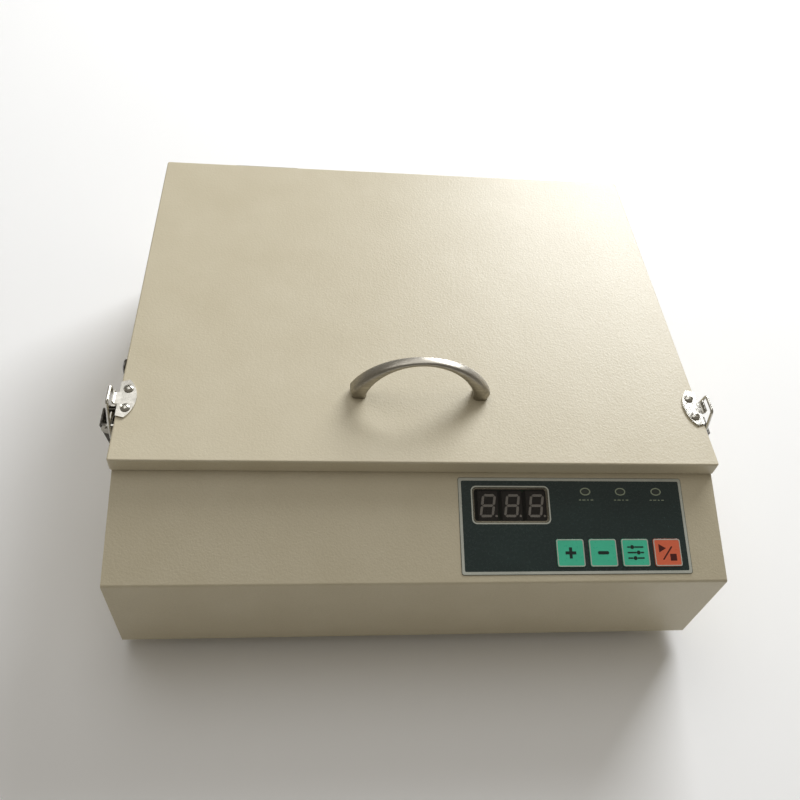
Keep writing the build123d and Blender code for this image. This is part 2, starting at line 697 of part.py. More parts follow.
rocker_frame = Plane(
    origin=(ROCKER_AT[0], ROCKER_Y, ROCKER_AT[1]),
    x_dir=(0, cos(ROCKER_TILT), sin(ROCKER_TILT)),
    z_dir=(1, 0, 0),
)
with BuildPart() as rocker:
    with BuildSketch(rocker_frame):
        with BuildLine():
            Polyline(
                (-3.5, -4.6), (4.6, -7.7), (5.9, -7.7), (4.4, 0.0),
                (5.9, 7.7), (4.6, 7.7), (-3.5, 4.6), close=True,
            )
        make_face()
    extrude(amount=5.3, both=True)
    with BuildSketch(rocker_frame):
        Circle(1.25)
    extrude(amount=6.0, both=True)
save(rocker, "rocker")

FAN_SIZE = 60.0
FAN_T = 15.0
FAN_BOLTS = 50.0
FAN_FRONT = INNER_REAR - FAN_T
with BuildPart() as fan_frame:
    with BuildSketch(rear_plane(INNER_REAR)):
        with Locations(FAN_AT):
            RectangleRounded(FAN_SIZE, FAN_SIZE, 4.0)
            Circle(29.0, mode=Mode.SUBTRACT)
            with GridLocations(FAN_BOLTS, FAN_BOLTS, 2, 2):
                Circle(2.1, mode=Mode.SUBTRACT)
    extrude(amount=FAN_T)
    with BuildSketch(rear_plane(FAN_FRONT + 1.8)):
        with Locations(FAN_AT):
            Circle(14.0)
            with PolarLocations(21.5, 4, 45.0):
                Rectangle(16.0, 4.0)
    extrude(amount=1.8)
    with BuildSketch(rear_plane(FAN_FRONT + 10.5)):
        with Locations(FAN_AT):
            Circle(1.5)
    extrude(amount=10.5)
save(fan_frame, "fan_frame")

ROTOR_Y = FAN_FRONT + 2.2
rotor_plane = Plane(
    origin=(FAN_AT[0], ROTOR_Y, FAN_AT[1]), x_dir=(1, 0, 0), z_dir=(0, 1, 0)
)
ROTOR_T = 10.0
with BuildPart(rotor_plane) as fan_rotor:
    Cylinder(15.0, ROTOR_T, align=(Align.CENTER, Align.CENTER, Align.MIN))
    with Locations((0, 0, ROTOR_T / 2)):
        with PolarLocations(20.8, 7):
            Box(13.0, 1.4, 11.0, rotation=(38, 0, 0))
    Cylinder(1.55, 9.0, align=(Align.CENTER, Align.CENTER, Align.MIN), mode=Mode.SUBTRACT)
save(fan_rotor, "fan_rotor")

GUARD_Y = CASE_REAR + 1.6
with BuildPart() as fan_guard:
    with BuildSketch(rear_plane(GUARD_Y)):
        with Locations(FAN_AT):
            for radius in (6.0, 12.0, 18.0, 24.0, 30.0):
                Circle(radius)
                Circle(radius - 1.6, mode=Mode.SUBTRACT)
            with PolarLocations(16.0, 4, 45.0):
                Rectangle(26.0, 2.0)
            with PolarLocations(32.5, 4, 45.0):
                Rectangle(6.0, 5.0)
            with GridLocations(FAN_BOLTS, FAN_BOLTS, 2, 2):
                Circle(4.0)
    extrude(amount=1.6)
    guard_seats = [
        facing(FAN_AT[0] + dx, GUARD_Y, FAN_AT[1] + dz, (0, 1, 0))
        for dx in (-FAN_BOLTS / 2, FAN_BOLTS / 2)
        for dz in (-FAN_BOLTS / 2, FAN_BOLTS / 2)
    ]
    add_screws(guard_seats, 3.2, 2.0, 1.0, 1.0, cross=False)
save(fan_guard, "fan_guard")

# Lid
with BuildPart() as lid_shell:
    with BuildSketch(Plane.XY.offset(LIP_Z)):
        with Locations((0, LID_MID)):
            Rectangle(LID_W, LID_D)
    extrude(amount=LID_LIP)
    fillet(lid_shell.edges().filter_by(Axis.Z), 1.8)
    fillet(lid_shell.faces().sort_by(Axis.Z)[-1].edges(), 1.1)
    with BuildSketch(Plane.XY.offset(LIP_Z)):
        with Locations((0, LID_MID)):
            RectangleRounded(LID_W - 2 * SHEET, LID_D - 2 * SHEET, 0.6)
    extrude(amount=LID_LIP - SHEET, mode=Mode.SUBTRACT)
    drill([seat.offset(-STRIKE_T) for seat in strike_seats], 1.5, SHEET)
    drill(handle_seats, 2.1, SHEET)
    drill([seat.offset(-LEAF_T) for seat in hinge_lid_seats], 1.2, SHEET)
    drill([side_screw_seat], 2.05, SHEET)
save(lid_shell, "lid_shell")

PAD_BOTTOM = DECK_TOP + GLASS[2] + PAD_GAP
with BuildPart() as foam_pad:
    with BuildSketch(Plane.XY.offset(PAD_BOTTOM)):
        with Locations((0, BED_Y)):
            RectangleRounded(PAD[0], PAD[1], 6.0)
    extrude(amount=LID_UNDER - PAD_BOTTOM)
    with BuildSketch(Plane.XY.offset(LID_UNDER)):
        with Locations(*[(x, HANDLE_Y) for x in (-HANDLE_X, HANDLE_X)]):
            Circle(5.6)
    extrude(amount=-4.0, mode=Mode.SUBTRACT)
save(foam_pad, "foam_pad")

# Bow handle: a bar between two arcs, slimmest in the middle and widest at its feet
BOW_HALF = 46.0
BOW_RISE = 33.0
BOW_HEEL = 5.0
BOW_TOE = 3.0
BOW_THIN = 3.6
BOW_MID_W = 6.4
FOOT_W = 11.6
FOOT_LEN = 11.0
BOW_FILLET = 1.7
with BuildPart() as handle:
    with BuildSketch(rear_plane(HANDLE_Y)):
        with BuildLine():
            foot_in = BOW_HALF - FOOT_LEN
            Polyline(
                (-BOW_HALF, LID_TOP + BOW_HEEL), (-BOW_HALF + 1.0, LID_TOP),
                (-foot_in, LID_TOP), (-foot_in, LID_TOP + BOW_TOE),
            )
            ThreePointArc(
                (-foot_in, LID_TOP + BOW_TOE),
                (0, LID_TOP + BOW_RISE - BOW_THIN),
                (foot_in, LID_TOP + BOW_TOE),
            )
            Polyline(
                (foot_in, LID_TOP + BOW_TOE), (foot_in, LID_TOP),
                (BOW_HALF - 1.0, LID_TOP), (BOW_HALF, LID_TOP + BOW_HEEL),
            )
            ThreePointArc(
                (BOW_HALF, LID_TOP + BOW_HEEL),
                (0, LID_TOP + BOW_RISE),
                (-BOW_HALF, LID_TOP + BOW_HEEL),
            )
        make_face()
    extrude(amount=FOOT_W / 2, both=True)
    with BuildSketch(Plane.XY.offset(LID_TOP)):
        with BuildLine():
            for end_y in (-FOOT_W / 2, FOOT_W / 2):
                waist_y = end_y * BOW_MID_W / FOOT_W
                ThreePointArc(
                    (-BOW_HALF - 1.0, HANDLE_Y + end_y),
                    (0, HANDLE_Y + waist_y),
                    (BOW_HALF + 1.0, HANDLE_Y + end_y),
                )
            for end_x in (-BOW_HALF - 1.0, BOW_HALF + 1.0):
                Line((end_x, HANDLE_Y - FOOT_W / 2), (end_x, HANDLE_Y + FOOT_W / 2))
        make_face()
    extrude(amount=BOW_RISE + 5.0, mode=Mode.INTERSECT)
    fillet([edge for edge in handle.edges() if edge.length > 1.5 * BOW_HALF], BOW_FILLET)
    drill([seat.offset(-SHEET) for seat in handle_seats], 2.05, 7.0)
save(handle, "handle")

with BuildPart() as lid_screws:
    add_screws(handle_seats, 4.2, 2.4, 1.95, SHEET + 6.5)
    add_screws(strike_seats, 3.0, 1.9, 1.4, STRIKE_T + SHEET + 2.6)
    add_screws(hinge_lid_seats, 1.7, 0.9, 1.1, LEAF_T + SHEET, cross=False)
save(lid_screws, "lid_screws")

# Hinges: leaf pairs with five knuckles and a plain pin
KNUCKLES = 5
KNUCKLE_L = HINGE_LEAF / KNUCKLES
KNUCKLE_GAP = 0.3
PIN_R = 1.45
BORE_R = 1.5


def hinge_leaf(first, leaf_low, leaf_high, tab_to):
    """Both leaves of one kind in the active part: plate, tabs and their knuckles."""
    outer_y = LID_REAR + LEAF_T
    for side in (-1, 1):
        low_x = side * HINGE_X - HINGE_LEAF / 2
        with BuildSketch(rear_plane(outer_y)) as plate:
            with Locations((side * HINGE_X, middle(leaf_low, leaf_high))):
                Rectangle(HINGE_LEAF, leaf_high - leaf_low)
        extrude(plate.sketch, amount=LEAF_T)
        for i in range(first, KNUCKLES, 2):
            mid_x = low_x + KNUCKLE_L * (i + 0.5)
            with BuildSketch(rear_plane(outer_y)) as tab:
                with Locations((mid_x, middle(HINGE_Z, tab_to))):
                    Rectangle(KNUCKLE_L - KNUCKLE_GAP, abs(tab_to - HINGE_Z))
            extrude(tab.sketch, amount=LEAF_T)
            with BuildSketch(Plane.YZ.offset(mid_x)) as knuckle:
                with Locations((HINGE_Y, HINGE_Z)):
                    Circle(HINGE_R)
            extrude(knuckle.sketch, amount=(KNUCKLE_L - KNUCKLE_GAP) / 2, both=True)
        with BuildSketch(Plane.YZ.offset(side * HINGE_X)) as bore:
            with Locations((HINGE_Y, HINGE_Z)):
                Circle(BORE_R)
        extrude(bore.sketch, amount=HINGE_LEAF / 2 + 1.0, both=True, mode=Mode.SUBTRACT)


with BuildPart() as hinge_base_leaves:
    hinge_leaf(0, HINGE_Z - 19.0, HINGE_Z - 3.4, HINGE_Z - 4.0)
    with BuildSketch(rear_plane(LID_REAR)):
        with Locations(*[(side * HINGE_X, HINGE_Z - 11.2) for side in (-1, 1)]):
            Rectangle(HINGE_LEAF, 15.6)
    extrude(amount=PACKER_T)
    drill(hinge_base_seats, 1.4, LEAF_T + PACKER_T)
save(hinge_base_leaves, "hinge_base_leaves")

with BuildPart() as hinge_lid_leaves:
    hinge_leaf(1, HINGE_Z + 3.4, HINGE_Z + 9.8, HINGE_Z + 4.0)
    drill(hinge_lid_seats, 1.2, LEAF_T)
save(hinge_lid_leaves, "hinge_lid_leaves")

with BuildPart() as hinge_pins:
    for side in (-1, 1):
        with BuildSketch(Plane.YZ.offset(side * HINGE_X)):
            with Locations((HINGE_Y, HINGE_Z)):
                Circle(PIN_R)
        extrude(amount=HINGE_LEAF / 2 + 0.2, both=True)
        for end in (-1, 1):
            end_x = side * HINGE_X + end * (HINGE_LEAF / 2 + 0.2)
            with BuildSketch(Plane(origin=(end_x, HINGE_Y, HINGE_Z), z_dir=(end, 0, 0))):
                Circle(2.2)
            extrude(amount=0.8)
save(hinge_pins, "hinge_pins")

# Lid stay: a slotted arm on a lid bracket, sliding on a stud in the case wall
ARM_T = 1.5
ARM_HALF = 4.2
SLOT_HALF = 2.15
SLOT_ENDS = (38.9, 87.0)
ARM_LEN = 94.0
arm_angle = atan2(STAY_P[1] - STAY_Q[1], STAY_P[0] - STAY_Q[0])
arm_plane = Plane(
    origin=(STAY_X, STAY_Q[0], STAY_Q[1]),
    x_dir=(0, cos(arm_angle), sin(arm_angle)),
    z_dir=(1, 0, 0),
)
with BuildPart() as stay_arm:
    with BuildSketch(arm_plane):
        with Locations((ARM_LEN / 2, 0)):
            SlotCenterToCenter(ARM_LEN, 2 * ARM_HALF)
        with Locations((middle(*SLOT_ENDS), 0)):
            SlotCenterToCenter(
                SLOT_ENDS[1] - SLOT_ENDS[0] + 0.4, 2 * SLOT_HALF, mode=Mode.SUBTRACT
            )
        Circle(2.06, mode=Mode.SUBTRACT)
    extrude(amount=ARM_T / 2, both=True)
save(stay_arm, "stay_arm")

ARM_IN = STAY_X + ARM_T / 2
ARM_OUT = STAY_X - ARM_T / 2
with BuildPart() as stay_bracket:
    with BuildSketch(Plane.YZ.offset(ARM_IN + 0.3)):
        with Locations((STAY_Q[0], middle(STAY_Q[1] - 5.0, LID_UNDER))):
            Rectangle(12.0, LID_UNDER - STAY_Q[1] + 5.0)
    extrude(amount=SHEET)
    with BuildSketch(Plane.XY.offset(LID_UNDER)):
        with Locations((ARM_IN + 0.3 + 6.0, STAY_Q[0])):
            Rectangle(12.0, 12.0)
    extrude(amount=-SHEET)
    with BuildSketch(Plane.YZ.offset(ARM_IN + 0.3)):
        with Locations(STAY_Q):
            Circle(2.0)
    extrude(amount=-(ARM_T + 0.6))
    with BuildSketch(Plane.YZ.offset(ARM_OUT - 0.3)):
        with Locations(STAY_Q):
            Circle(3.4)
    extrude(amount=-1.0)
save(stay_bracket, "stay_bracket")

with BuildPart() as stay_stud:
    with BuildSketch(Plane.YZ.offset(-WALL_X)):
        with Locations(STAY_P):
            Circle(2.0)
    extrude(amount=WALL_X + ARM_IN + 0.3)
    with BuildSketch(Plane.YZ.offset(-INNER_X)):
        with Locations(STAY_P):
            Circle(3.5)
    extrude(amount=INNER_X + ARM_OUT - 0.3)
    with BuildSketch(Plane.YZ.offset(ARM_IN + 0.3)):
        with Locations(STAY_P):
            Circle(3.5)
    extrude(amount=1.2)
    with BuildSketch(Plane.YZ.offset(-WALL_X)):
        with Locations(STAY_P):
            Circle(4.0)
    extrude(amount=-1.2)
save(stay_stud, "stay_stud")

# Interlock: a magnet carried by the lid, over a reed switch in the well
MAGNET = (4.0, 14.0, 6.5)
magnet_out = -LID_W / 2 + SHEET
with BuildPart() as interlock_magnet:
    with BuildSketch(Plane.YZ.offset(magnet_out)):
        with Locations((SIDE_SCREW_Y, LID_TOP - 5.0)):
            RectangleRounded(MAGNET[1], MAGNET[2], 1.0)
            Circle(2.05, mode=Mode.SUBTRACT)
    extrude(amount=MAGNET[0])
save(interlock_magnet, "interlock_magnet")

with BuildPart() as side_screw:
    add_screws([side_screw_seat], 6.0, 2.5, 2.0, SHEET + MAGNET[0])
save(side_screw, "side_screw")

with BuildPart() as interlock_switch:
    with BuildSketch(Plane.YZ.offset(-INNER_X + TRAY_WALL)):
        with Locations((SIDE_SCREW_Y, DECK_TOP + 6.5)):
            RectangleRounded(24.0, 7.0, 2.0)
    extrude(amount=6.0)
save(interlock_switch, "interlock_switch")

# Draw latches
EAR_IN = 7.3
EAR_OUT = 8.5
LEVER_OUT = 7.0
LEVER_IN = 5.8
WIRE_R = 1.0
STRIKE_BULGE = 5.7
with BuildPart() as strikes:
    for side in (-1, 1):
        with BuildSketch(Plane.XY.offset(LID_TOP)):
            edge_x = side * (LID_W / 2 - 0.2)
            with BuildLine():
                Polyline(
                    (side * STRIKE_X, LATCH_Y - 15.0),
                    (edge_x, LATCH_Y - 13.5),
                    (edge_x, LATCH_Y + 13.5),
                    (side * STRIKE_X, LATCH_Y + 15.0),
                )
                ThreePointArc(
                    (side * STRIKE_X, LATCH_Y + 15.0),
                    (side * (STRIKE_X - STRIKE_BULGE), LATCH_Y),
                    (side * STRIKE_X, LATCH_Y - 15.0),
                )
            make_face()
        extrude(amount=STRIKE_T)
        hook_plane = latch_plane(side)
        hook_base = LID_W / 2 - WALL_X
        with BuildSketch(hook_plane):
            with BuildLine():
                Polyline(
                    (hook_base - 2.0, LID_TOP), (hook_base + 1.6, LID_TOP),
                    (hook_base + 2.8, LID_TOP + 1.0), (hook_base + 3.0, LID_TOP + 3.6),
                    (hook_base + 2.0, LID_TOP + 3.6), (hook_base + 1.6, LID_TOP + 1.4),
                    (hook_base - 2.0, LID_TOP + STRIKE_T), close=True,
                )
            make_face()
        extrude(amount=4.5, both=True)
    drill(strike_seats, 1.5, STRIKE_T)
save(strikes, "strikes")

with BuildPart() as latch_bases:
    for side in (-1, 1):
        wall_plane = Plane(
            origin=(side * WALL_X, 0, 0), x_dir=(0, side, 0), z_dir=(side, 0, 0)
        )
        with BuildSketch(wall_plane):
            with Locations((side * LATCH_Y, 91.5)):
                RectangleRounded(27.0, 24.0, 3.0)
        extrude(amount=SHEET)
        for ear_side in (-1, 1):
            ear_mid = ear_side * middle(EAR_IN, EAR_OUT)
            ear_plane = latch_plane(side).offset(ear_mid)
            with BuildSketch(ear_plane):
                with Locations((LATCH_B[0] / 2 + 0.1, LATCH_B[1])):
                    Rectangle(LATCH_B[0] - 0.2, 8.4)
                with Locations(LATCH_B):
                    Circle(4.2)
            extrude(amount=(EAR_OUT - EAR_IN) / 2, both=True)
        with BuildSketch(latch_plane(side)):
            with Locations(LATCH_B):
                Circle(1.5)
        extrude(amount=EAR_OUT, both=True)
        for ear_side in (-1, 1):
            head_plane = latch_plane(side).offset(ear_side * middle(EAR_OUT, EAR_OUT + 0.8))
            with BuildSketch(head_plane):
                with Locations(LATCH_B):
                    Circle(2.4)
            extrude(amount=0.4, both=True)
    drill(latch_seats, 1.4, SHEET)
save(latch_bases, "latch_bases")

# side views of the lever about its pivot: outward, then up
LEVER_CHEEK = (
    (-3.2, 2.4), (3.5, 3.2), (4.0, 3.2), (4.0, -17.0), (3.0, -18.0), (0.8, -12.0), (-3.2, -9.8),
)
LEVER_BLADE = (
    (3.5, 3.2), (4.7, 3.2), (4.7, -16.6), (6.0, -19.4), (5.0, -20.2), (3.5, -17.0),
)
for side, side_name in ((-1, "left"), (1, "right")):
    lever_plane = latch_plane(side, LEVER_LEAN, LATCH_B)
    with BuildPart() as latch_lever:
        with BuildSketch(lever_plane):
            with BuildLine():
                Polyline(*LEVER_CHEEK, close=True)
            make_face()
        extrude(amount=LEVER_OUT, both=True)
        with BuildSketch(lever_plane):
            with BuildLine():
                Polyline(*LEVER_CHEEK, close=True)
            make_face()
        extrude(amount=LEVER_IN, both=True, mode=Mode.SUBTRACT)
        with BuildSketch(lever_plane):
            with BuildLine():
                Polyline(*LEVER_BLADE, close=True)
            make_face()
        extrude(amount=LEVER_OUT, both=True)
        with BuildSketch(lever_plane):
            Circle(1.56)
            with Locations(LATCH_L):
                Circle(WIRE_R + 0.06)
        extrude(amount=LEVER_OUT + 1.0, both=True, mode=Mode.SUBTRACT)
    save(latch_lever, f"latch_lever_{side_name}")

    pivot = turned(LATCH_L, LEVER_LEAN)
    pivot_at = Vector(
        side * (WALL_X + LATCH_B[0] + pivot[0]), LATCH_Y, LATCH_B[1] + pivot[1]
    )
    rise = Vector(-side * sin(LOOP_LEAN), 0, cos(LOOP_LEAN))
    loop_plane = Plane(
        origin=pivot_at, x_dir=(0, 1, 0), z_dir=Vector(0, 1, 0).cross(rise)
    )
    with BuildPart() as latch_loop:
        with BuildLine(loop_plane) as wire_path:
            FilletPolyline(
                (-LOOP_TAIL, 0.0), (-LOOP_HALF, 0.0), (-LOOP_HALF, LOOP_KNEE), (-LOOP_BAR, LOOP_H),
                (LOOP_BAR, LOOP_H), (LOOP_HALF, LOOP_KNEE), (LOOP_HALF, 0.0), (LOOP_TAIL, 0.0),
                radius=2.4,
            )
        start = wire_path.line @ 0
        with BuildSketch(Plane(origin=start, z_dir=wire_path.line % 0)):
            Circle(WIRE_R)
        sweep()
    save(latch_loop, f"latch_loop_{side_name}")

# Wiring held inside the case: straight runs joined by tangent arcs
WIRE_ROUTES = [
    # control board down to the power board
    ([(120.0, -150.0, 71.0), (120.0, -120.0, 40.0), (100.0, -70.0, 26.0), (92.0, -26.0, 26.0)],
     12.0, 2.0),
    # inlet to the terminal block
    ([(128.0, 150.0, 36.0), (128.0, 138.0, 32.0), (128.0, 128.0, 27.0), (128.0, 119.2, 22.0)],
     8.0, 1.5),
    # rocker switch to the terminal block
    ([(84.0, 161.5, 44.0), (84.0, 148.0, 40.0), (92.0, 130.0, 30.0), (100.0, 119.2, 22.0)],
     8.0, 1.5),
    # terminal block to the nearest ballast
    ([(94.0, 96.4, 20.0), (80.0, 84.0, 22.0), (50.0, 72.0, 24.0), (12.5, 66.0, 24.0)],
     10.0, 1.5),
]
with BuildPart() as wiring:
    for route, radius, wire_r in WIRE_ROUTES:
        with BuildLine() as route_line:
            FilletPolyline(*route, radius=radius)
        with BuildSketch(Plane(origin=route_line.line @ 0, z_dir=route_line.line % 0)):
            Circle(wire_r)
        sweep(path=route_line.line)
save(wiring, "wiring")
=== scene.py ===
"""Looks of the benchtop UV exposure unit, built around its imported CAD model."""

import json
from math import cos, pi, radians, sin

import bmesh
import bpy
from mathutils import Matrix, Vector


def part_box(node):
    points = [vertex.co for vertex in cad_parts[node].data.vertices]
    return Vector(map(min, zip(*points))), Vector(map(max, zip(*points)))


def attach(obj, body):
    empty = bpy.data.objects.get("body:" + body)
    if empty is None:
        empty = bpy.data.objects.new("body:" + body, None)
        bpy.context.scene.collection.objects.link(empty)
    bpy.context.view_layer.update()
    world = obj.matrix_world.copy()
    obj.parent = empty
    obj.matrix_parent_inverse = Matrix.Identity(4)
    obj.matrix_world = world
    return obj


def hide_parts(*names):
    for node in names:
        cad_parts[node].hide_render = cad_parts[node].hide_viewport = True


MM = 0.001

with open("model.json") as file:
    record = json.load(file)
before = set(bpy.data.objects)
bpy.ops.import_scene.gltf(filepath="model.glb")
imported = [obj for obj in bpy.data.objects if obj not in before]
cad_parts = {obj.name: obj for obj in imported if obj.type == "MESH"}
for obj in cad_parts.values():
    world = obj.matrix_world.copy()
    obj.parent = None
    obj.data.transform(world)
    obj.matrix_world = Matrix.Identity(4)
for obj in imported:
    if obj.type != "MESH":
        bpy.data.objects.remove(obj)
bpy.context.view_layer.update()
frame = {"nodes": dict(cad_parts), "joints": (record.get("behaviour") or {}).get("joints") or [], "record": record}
nodes = frame["nodes"]
scene = bpy.context.scene

# ---------------------------------------------------------------- frame places
LID_LOW, LID_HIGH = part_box("lid_shell")
PAD_LOW, PAD_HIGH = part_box("foam_pad")
HANDLE_LOW, HANDLE_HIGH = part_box("handle")
LID_FRONT = LID_LOW.y
LID_TOP = LID_HIGH.z


def joint(name):
    return next(j for j in frame["joints"] if j["name"] == name)


# The console's own axes come from the way its keys are pressed.
CONSOLE_UP = -Vector(joint("press_plus")["axis"]).normalized()
ACROSS = Vector((1, 0, 0))
UPHILL = CONSOLE_UP.cross(ACROSS)


def console_origin():
    """Top left corner of the printed overlay's upper face."""
    points = [v.co for v in nodes["overlay"].data.vertices]
    left = min(p.x for p in points)
    top = max(p.dot(UPHILL) for p in points)
    face = max(p.dot(CONSOLE_UP) for p in points)
    return ACROSS * left + UPHILL * top + CONSOLE_UP * face


LABEL_CORNER = console_origin()
LABEL_W = 145.7
LABEL_H = 60.2


def on_label(x, down, height=0.0):
    """Point on the overlay, in millimetres from its top left corner."""
    return LABEL_CORNER + (ACROSS * x - UPHILL * down + CONSOLE_UP * height) * MM


# ---------------------------------------------------------------- camera, stage
CAMERA_FROM_LID = (-72.5, -274.3, 400.0)  # millimetres from the middle of the lid's front edge
CAMERA_DOWN = radians(50.58)
CAMERA_RIGHT = radians(10.36)
CAMERA_ROLL = radians(9.01)
CAMERA_LENS = 35.86


def make_camera():
    """The photograph's view: high in front, a little to the left, slightly rolled."""
    place = Vector(CAMERA_FROM_LID) * MM + Vector((0, LID_FRONT, LID_TOP))
    pitch, yaw, roll = CAMERA_DOWN, CAMERA_RIGHT, CAMERA_ROLL
    forward = Vector((sin(yaw) * cos(pitch), cos(yaw) * cos(pitch), -sin(pitch)))
    level = Vector((cos(yaw), -sin(yaw), 0))
    upright = level.cross(forward)
    right = level * cos(roll) + upright * sin(roll)
    up = right.cross(forward)
    data = bpy.data.cameras.new("camera")
    data.lens = CAMERA_LENS
    data.sensor_width = 36.0
    data.clip_start = 0.01
    camera = bpy.data.objects.new("camera", data)
    turn = Matrix((right, up, -forward)).transposed().to_4x4()
    camera.matrix_world = Matrix.Translation(place) @ turn
    scene.collection.objects.link(camera)
    scene.camera = camera


def make_floor():
    """A wide pale floor that curves up far behind the object."""
    front, bend, radius, top, half_width = -4.0, 2.2, 1.2, 4.0, 5.0
    mesh = bpy.data.meshes.new("floor")
    shape = bmesh.new()
    profile = [(front, 0.0), (bend, 0.0)]
    for t in range(1, 13):
        angle = t * pi / 24
        profile.append((bend + radius * sin(angle), radius * (1 - cos(angle))))
    profile.append((bend + radius, top))
    rows = [[shape.verts.new((x, y, z)) for x in (-half_width, half_width)] for y, z in profile]
    for low, high in zip(rows, rows[1:]):
        shape.faces.new((low[0], low[1], high[1], high[0]))
    shape.to_mesh(mesh)
    shape.free()
    for face in mesh.polygons:
        face.use_smooth = True
    floor = bpy.data.objects.new("floor", mesh)
    scene.collection.objects.link(floor)
    paint = bpy.data.materials.new("floor_paper")
    paint.use_nodes = True
    shader = paint.node_tree.nodes["Principled BSDF"]
    shader.inputs["Base Color"].default_value = (0.94, 0.94, 0.94, 1)
    shader.inputs["Roughness"].default_value = 0.9
    mesh.materials.append(paint)


def area_light(name, place, aim, size, power, colour=(1, 1, 1)):
    data = bpy.data.lights.new(name, "AREA")
    data.shape = "RECTANGLE"
    data.size, data.size_y = size
    data.energy = power
    data.color = colour
    light = bpy.data.objects.new(name, data)
    light.location = place
    light.rotation_euler = (Vector(aim) - Vector(place)).to_track_quat("-Z", "Y").to_euler()
    scene.collection.objects.link(light)


def make_lights():
    """A broad window low behind to the right; weak light from above and from the room."""
    area_light("window", place=(1.34, 2.24, 1.56), aim=(0.05, 0.0, 0.1), size=(1.6, 1.15),
               power=101.0, colour=(0.955, 0.975, 1.0))
    area_light("top", place=(-0.3, 0.5, 1.7), aim=(0, 0, 0.1), size=(1.4, 1.4), power=8.5)
    world = bpy.data.worlds.new("studio")
    world.use_nodes = True
    background = world.node_tree.nodes["Background"]
    background.inputs["Color"].default_value = (1.0, 0.925, 0.79, 1)
    background.inputs["Strength"].default_value = 0.22
    scene.world = world
    scene.view_settings.view_transform = "Standard"


# ---------------------------------------------------------------- materials
def srgb(red, green, blue):
    """A colour given as it looks, as the linear values that shaders take."""
    return [((c + 0.055) / 1.055) ** 2.4 if c > 0.04045 else c / 12.92
            for c in (red, green, blue)] + [1.0]


class Finish:
    """A procedural material: a principled shader with noise-driven colour, roughness and bump."""

    def __init__(self, name, metallic=0.0, coat=0.0, coat_roughness=0.1, sheen=0.0):
        self.material = bpy.data.materials.new(name)
        self.material.use_nodes = True
        self.tree = self.material.node_tree
        self.shader = self.tree.nodes["Principled BSDF"]
        self.set("Metallic", metallic)
        self.set("Coat Weight", coat)
        self.set("Coat Roughness", coat_roughness)
        self.set("Sheen Weight", sheen)
        self.place = self.add("ShaderNodeTexCoord").outputs["Object"]
        self.height = None

    def add(self, kind, **settings):
        node = self.tree.nodes.new(kind)
        for key, value in settings.items():
            setattr(node, key, value)
        return node

    def set(self, socket, value):
        self.shader.inputs[socket].default_value = value

    def link(self, start, end):
        self.tree.links.new(start, end)

    def stretched(self, scale):
        """Object coordinates scaled unevenly, for grain and brushing."""
        mapping = self.add("ShaderNodeMapping")
        mapping.inputs["Scale"].default_value = scale
        self.link(self.place, mapping.inputs["Vector"])
        return mapping.outputs["Vector"]

    def noise(self, scale, detail=3.0, rough=0.55, coords=None):
        node = self.add("ShaderNodeTexNoise")
        node.inputs["Scale"].default_value = scale
        node.inputs["Detail"].default_value = detail
        node.inputs["Roughness"].default_value = rough
        self.link(coords or self.place, node.inputs["Vector"])
        return node.outputs["Fac"]

    def cells(self, scale, feature="F1", coords=None):
        node = self.add("ShaderNodeTexVoronoi", feature=feature)
        node.inputs["Scale"].default_value = scale
        self.link(coords or self.place, node.inputs["Vector"])
        return node.outputs["Distance"]

    def spread(self, source, low, high, from_low=0.3, from_high=0.7):
        node = self.add("ShaderNodeMapRange")
        for socket, value in (("From Min", from_low), ("From Max", from_high),
                              ("To Min", low), ("To Max", high)):
            node.inputs[socket].default_value = value
        self.link(source, node.inputs["Value"])
        return node.outputs["Result"]

    def mix(self, factor, first, second):
        """Colour between two colours or colour outputs, driven by factor."""
        node = self.add("ShaderNodeMix", data_type="RGBA")
        for socket, value in ((6, first), (7, second)):
            if isinstance(value, (list, tuple)):
                node.inputs[socket].default_value = value
            else:
                self.link(value, node.inputs[socket])
        self.link(factor, node.inputs[0])
        return node.outputs[2]

    def between(self, source, colour, shade):
        """A colour that wanders between two, following a noise."""
        return self.mix(self.spread(source, 0.0, 1.0), srgb(*colour), srgb(*shade))

    def colour(self, source):
        self.link(source, self.shader.inputs["Base Color"])
        return self

    def roughness(self, source, low, high):
        self.link(self.spread(source, low, high), self.shader.inputs["Roughness"])
        return self

    def bump(self, source, strength, distance):
        """Adds one more layer of relief; distance in metres."""
        node = self.add("ShaderNodeBump")
        node.inputs["Strength"].default_value = strength
        node.inputs["Distance"].default_value = distance
        self.link(source, node.inputs["Height"])
        if self.height is not None:
            self.link(self.height, node.inputs["Normal"])
        self.height = node.outputs["Normal"]
        self.link(self.height, self.shader.inputs["Normal"])
        return self


def powder_coat(name, colour, shade, grain=1350.0, relief=0.00016):
    """Fine-textured powder coat: faint mottling, sandy relief, satin gloss."""
    f = Finish(name)
    mottle = f.noise(26.0, 4.0)
    sand = f.noise(grain, 2.0, 0.6)
    lumps = f.cells(grain * 0.55, "SMOOTH_F1")
    base = f.between(mottle, colour, shade)
    dark = [c * 0.8 for c in shade]
    speck = f.mix(f.spread(sand, 0.0, 0.16, 0.45, 0.75), base, srgb(*dark))
    f.colour(speck)
    f.roughness(f.noise(grain * 0.7, 2.0), 0.33, 0.50)
    f.bump(lumps, 0.5, relief).bump(sand, 0.6, relief * 0.8)
    return f.material


def plastic(name, colour, shade, low=0.38, high=0.55, grain=900.0, relief=0.00005, coat=0.0):
    """Moulded plastic with a fine spark-eroded grain."""
    f = Finish(name, coat=coat)
    f.colour(f.between(f.noise(40.0), colour, shade))
    f.roughness(f.noise(160.0), low, high)
    f.bump(f.noise(grain, 2.0), 0.35, relief)
    return f.material


